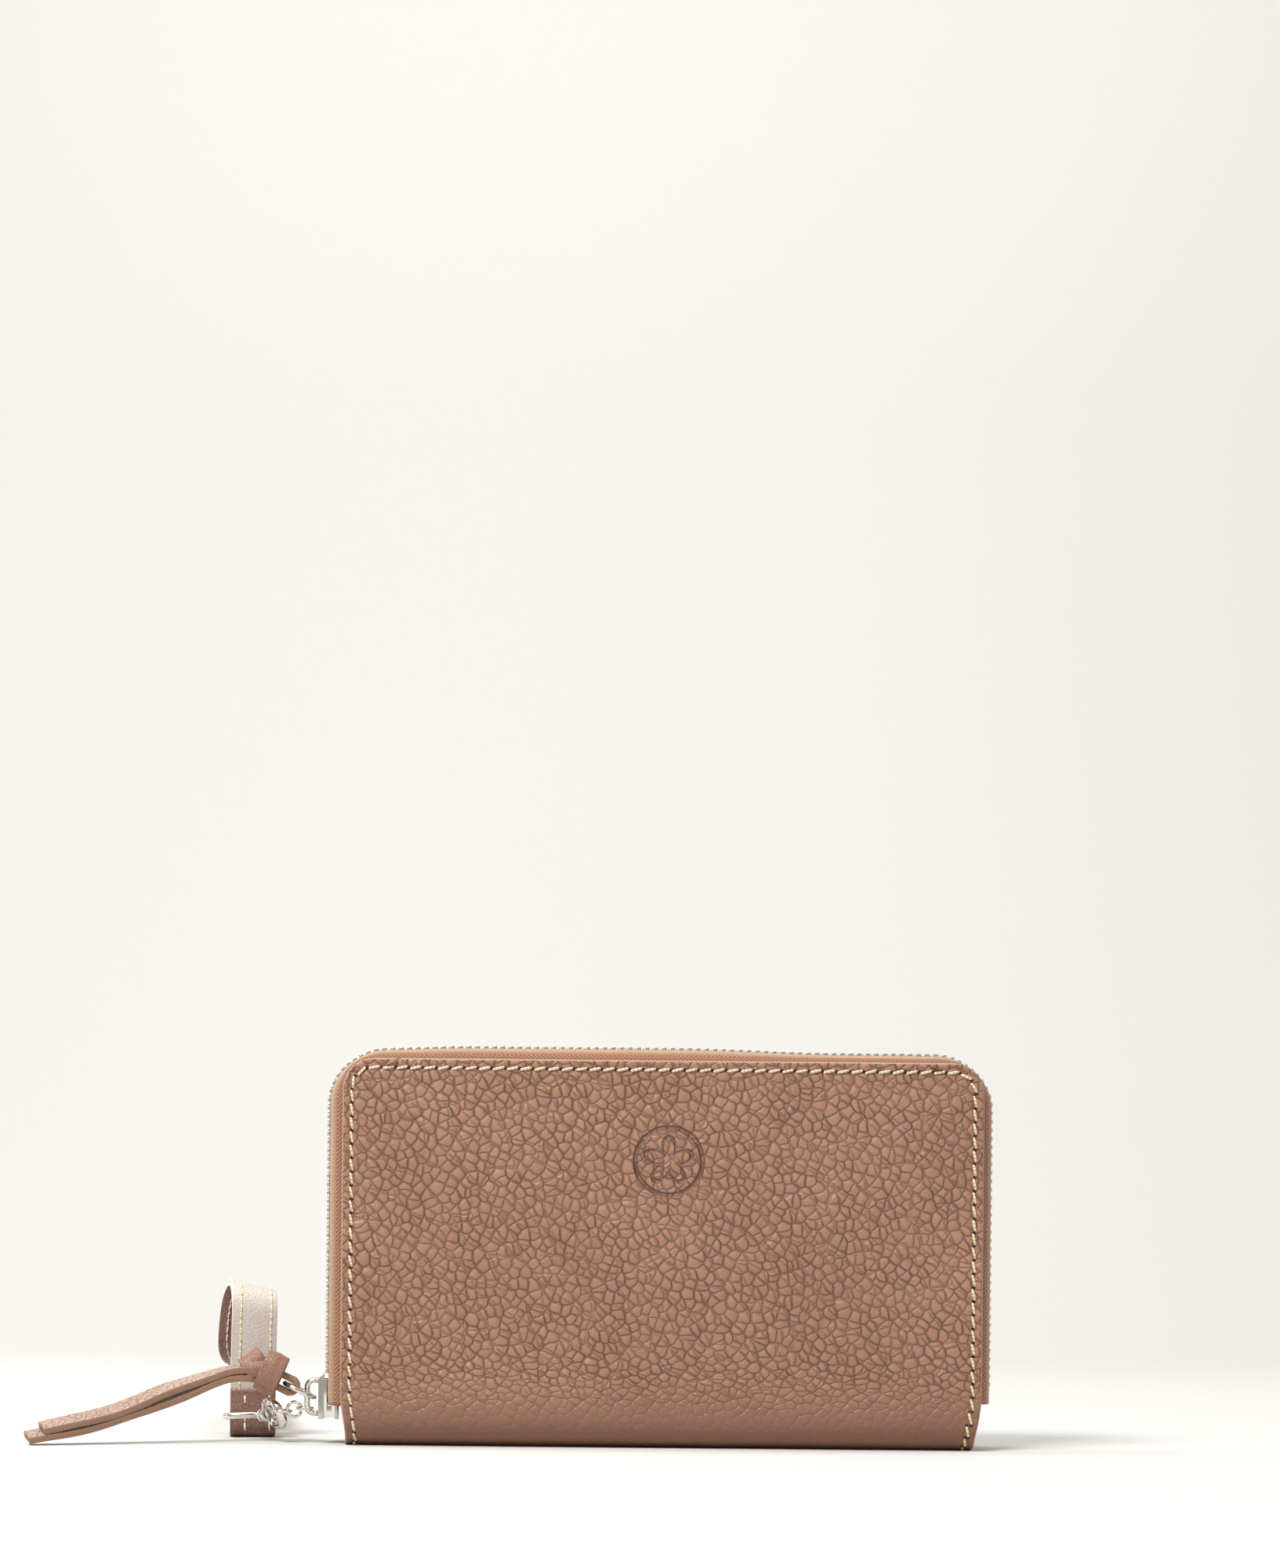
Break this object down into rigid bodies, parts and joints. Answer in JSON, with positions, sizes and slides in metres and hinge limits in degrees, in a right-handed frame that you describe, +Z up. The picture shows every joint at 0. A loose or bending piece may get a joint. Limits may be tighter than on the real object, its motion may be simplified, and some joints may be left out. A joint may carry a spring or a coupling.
{
  "type": "zip around wallet",
  "caption": "Long zip-around wristlet wallet: two leather covers on a folded spine, metal zip round three sides, knotted leather pull and a wrist strap on a swivel snap hook.",
  "frame": {"origin": "centre of the spine's flat underside, on the surface that the closed wallet stands on", "axes": "+X to the wallet's right along its width, front face towards -Y, +Z up from the spine to the zip's top run"},
  "size_m": [0.2598, 0.1431, 0.1082],
  "materials": {
    "pebbled_leather": "pebbled cowhide, semi-matt",
    "lining": "woven twill lining",
    "smooth_leather": "smooth cowhide",
    "pale_leather": "pale smooth cowhide with painted edges",
    "board": "fibre stiffening board",
    "zip_tape": "herringbone woven cotton tape",
    "nickel": "polished nickel plating",
    "coil": "nylon coil"
  },
  "bodies": {
    "spine": {"spine_leather": "pebbled_leather", "spine_lining": "lining", "coin_pocket_front": "lining", "coin_pocket_top_band": "lining", "coin_pocket_back": "lining", "coin_pocket_seam": "lining", "coin_zip_tape_lower": "zip_tape", "coin_zip_tape_upper": "zip_tape", "coin_zip_coil": "coil", "gusset_left_front": "smooth_leather", "gusset_left_back": "smooth_leather", "gusset_right_front": "smooth_leather", "gusset_right_back": "smooth_leather"},
    "front_cover": {"front_cover_leather": "pebbled_leather", "front_cover_board": "board", "front_cover_lining": "lining", "front_slip_pocket": "smooth_leather", "front_zip_tape": "zip_tape", "front_zip_teeth": "nickel", "front_zip_stop": "nickel"},
    "back_cover": {"back_cover_leather": "pebbled_leather", "back_cover_board": "board", "back_cover_lining": "lining", "card_slot_1": "smooth_leather", "card_slot_2": "smooth_leather", "card_slot_3": "smooth_leather", "back_zip_tape": "zip_tape", "back_zip_teeth": "nickel", "back_zip_stop": "nickel", "zip_end_clip": "nickel"},
    "zip_slider": {"zip_slider": "nickel", "slider_arch": "nickel"},
    "pull_ring": {"pull_ring": "nickel"},
    "leather_pull": {"pull_loop": "pebbled_leather", "pull_knot": "pebbled_leather", "pull_tail_upper": "pebbled_leather", "pull_tail_lower": "pebbled_leather"},
    "chain_link_1": {"chain_link_1": "nickel"},
    "chain_link_2": {"chain_link_2": "nickel"},
    "chain_link_3": {"chain_link_3": "nickel"},
    "snap_hook": {"hook_body": "nickel", "hook_pin": "nickel"},
    "hook_gate": {"hook_gate": "nickel"},
    "swivel_eye": {"swivel_eye": "nickel"},
    "wrist_strap": {"strap_tab": "smooth_leather", "strap_outer_leather": "pale_leather", "strap_inner_leather": "smooth_leather"},
    "coin_slider": {"coin_slider": "nickel"},
    "coin_pull_tab": {"coin_pull_tab": "nickel"}
  },
  "joints": [
    {"name": "front_cover_hinge", "type": "hinge", "parent": "spine", "child": "front_cover", "pos_m": [0, -0.0125, 0.01], "axis": [1, 0, 0], "range_deg": [0, 24], "deforming": ["gusset_left_front", "gusset_right_front"]},
    {"name": "back_cover_hinge", "type": "hinge", "parent": "spine", "child": "back_cover", "pos_m": [0, 0.0125, 0.01], "axis": [1, 0, 0], "range_deg": [-24, 0], "deforming": ["gusset_left_back", "gusset_right_back"]},
    {"name": "zip_slide", "type": "slide", "parent": "back_cover", "child": "zip_slider", "axis": [0, 0, 1], "range_m": [0, 0.074], "deforming": ["front_zip_teeth", "back_zip_teeth"]},
    {"name": "ring_swing", "type": "hinge", "parent": "zip_slider", "child": "pull_ring", "pos_m": [-0.09515, 0, 0.0142], "axis": [0, 0, 1], "range_deg": [-12, 12]},
    {"name": "pull_swing", "type": "hinge", "parent": "pull_ring", "child": "leather_pull", "pos_m": [-0.10122, 0, 0.0161], "axis": [0, 1, 0], "range_deg": [0, 30]},
    {"name": "link_1_swing", "type": "hinge", "parent": "zip_slider", "child": "chain_link_1", "pos_m": [-0.09515, 0, 0.0094], "axis": [0, 0, 1], "range_deg": [-10, 4]},
    {"name": "link_2_swing", "type": "hinge", "parent": "chain_link_1", "child": "chain_link_2", "pos_m": [-0.09762, -0.00081, 0.0094], "axis": [0.3122, -0.95, 0], "range_deg": [-2, 2]},
    {"name": "link_3_swing", "type": "hinge", "parent": "chain_link_2", "child": "chain_link_3", "pos_m": [-0.10045, -0.00174, 0.00905], "axis": [0, 0, 1], "range_deg": [-6, 4]},
    {"name": "hook_swing", "type": "hinge", "parent": "chain_link_3", "child": "snap_hook", "pos_m": [-0.10228, -0.00234, 0.0081], "axis": [0.9397, 0.342, 0], "range_deg": [0, 4]},
    {"name": "gate_hinge", "type": "hinge", "parent": "snap_hook", "child": "hook_gate", "pos_m": [-0.10679, 0.00585, 0.01036], "axis": [0.8387, 0.3456, 0.4209], "range_deg": [0, 20], "stiffness_Nm_per_rad": 0.01, "springref_deg": -17.19},
    {"name": "eye_swivel", "type": "hinge", "parent": "snap_hook", "child": "swivel_eye", "pos_m": [-0.10738, 0.0117, 0.00675], "axis": [-0.3406, 0.9359, -0.0896], "range_deg": [-3, 12]},
    {"name": "strap_swing", "type": "hinge", "parent": "swivel_eye", "child": "wrist_strap", "pos_m": [-0.11134, 0.02255, 0.00572], "axis": [0.9397, 0.342, 0], "range_deg": [0, 12]},
    {"name": "coin_zip_slide", "type": "slide", "parent": "spine", "child": "coin_slider", "axis": [-1, 0, 0], "range_m": [0, 0.12], "deforming": ["coin_zip_coil"]},
    {"name": "coin_tab_swing", "type": "hinge", "parent": "coin_slider", "child": "coin_pull_tab", "pos_m": [0.062, -0.00335, 0.082], "axis": [0, 0, 1], "range_deg": [0, 20]}
  ],
  "couplings": [
    {"joint": "back_cover_hinge", "follows": "front_cover_hinge", "ratio": -1}
  ]
}
